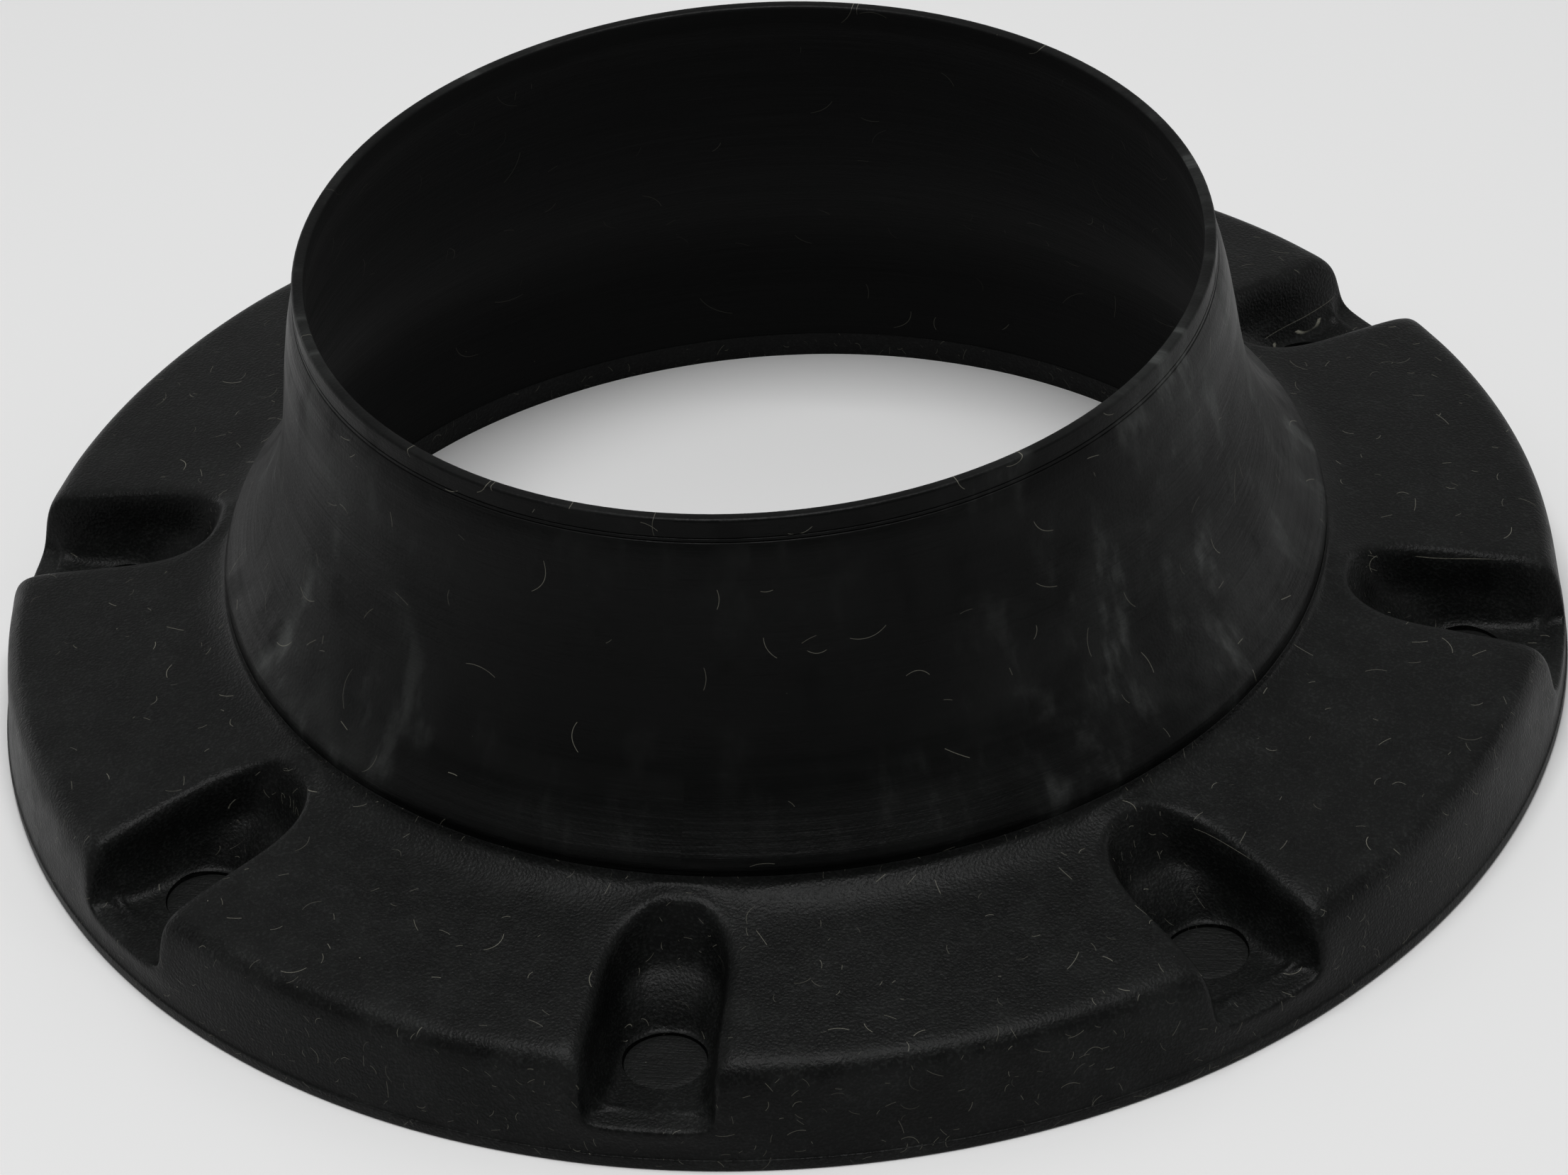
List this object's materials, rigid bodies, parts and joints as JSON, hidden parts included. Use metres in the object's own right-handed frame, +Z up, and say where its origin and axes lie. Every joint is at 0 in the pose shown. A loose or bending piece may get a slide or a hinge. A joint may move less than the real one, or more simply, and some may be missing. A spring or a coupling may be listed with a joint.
{
  "type": "toilet flange",
  "caption": "Black rubber toilet floor flange: a thin flared neck on a wide ring with round-ended bolt pockets, knock-out discs, steel bushes and a stiffening ring",
  "frame": {"origin": "centre of the base, on the face that stands on the floor", "axes": "+Z up along the neck's axis, away from the base; +X through the centre of bolt pocket 1"},
  "size_m": [0.175, 0.175, 0.0555],
  "materials": {
    "flange_rubber": "matte moulded, faintly pebbled",
    "neck_rubber": "matte with fine turned lines and pale bloom",
    "disc_rubber": "matte, finely scored",
    "ring_steel": "plain zinc-plated strip",
    "bush_steel": "turned, zinc-plated"
  },
  "bodies": {
    "root": {"flange_moulding": "flange_rubber", "neck_sleeve": "neck_rubber", "stiffening_ring": "ring_steel", "bolt_bush_1": "bush_steel", "bolt_bush_2": "bush_steel", "bolt_bush_3": "bush_steel", "bolt_bush_4": "bush_steel", "bolt_bush_5": "bush_steel", "bolt_bush_6": "bush_steel", "bolt_bush_7": "bush_steel", "bolt_bush_8": "bush_steel", "knockout_disc_1": "disc_rubber", "knockout_disc_2": "disc_rubber", "knockout_disc_3": "disc_rubber", "knockout_disc_4": "disc_rubber", "knockout_disc_5": "disc_rubber", "knockout_disc_6": "disc_rubber", "knockout_disc_7": "disc_rubber", "knockout_disc_8": "disc_rubber"}
  },
  "joints": []
}
